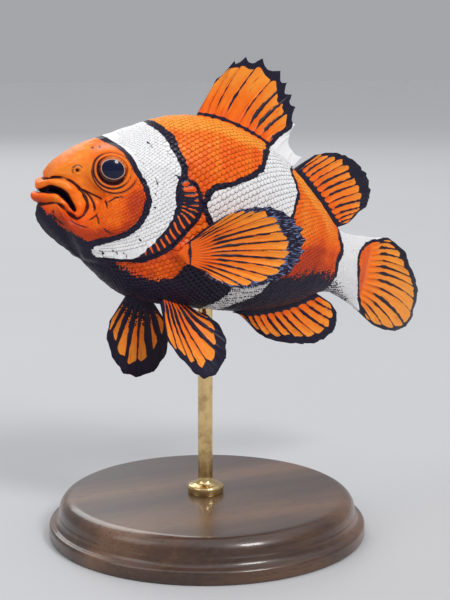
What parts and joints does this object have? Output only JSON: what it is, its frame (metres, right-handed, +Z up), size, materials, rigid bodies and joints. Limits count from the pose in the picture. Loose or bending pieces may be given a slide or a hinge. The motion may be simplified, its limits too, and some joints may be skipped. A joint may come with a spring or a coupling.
{
  "type": "clownfish model on a stand",
  "caption": "Life-size model of an adult clownfish with white bars and spread fins, swimming, on a round display stand with one rod.",
  "frame": {"origin": "the middle of the underside of the stand's round base", "axes": "+Z up, -X towards the fish's snout, -Y towards the fish's left side"},
  "size_m": [0.086, 0.056, 0.0833],
  "materials": {
    "orange_skin": "orange skin with a moist sheen",
    "white_skin": "white skin with a moist sheen",
    "fin": "orange fin membrane with a dark margin",
    "eye": "polished dark eye",
    "stand_wood": "dark satin varnish",
    "stand_metal": "satin"
  },
  "bodies": {
    "root": {"head": "orange_skin", "upper_lip": "orange_skin", "lower_jaw": "orange_skin", "gill_cover_left": "white_skin", "gill_cover_right": "white_skin", "eye_left": "eye", "eye_right": "eye", "trunk": "orange_skin", "tail_stem": "white_skin", "dorsal_fin_spiny": "fin", "dorsal_fin_soft": "fin", "anal_fin": "fin", "tail_fin": "fin", "pectoral_fin_left": "fin", "pectoral_fin_right": "fin", "pelvic_fin_left": "fin", "pelvic_fin_right": "fin", "stand_base": "stand_wood", "stand_rod": "stand_metal"}
  },
  "joints": []
}
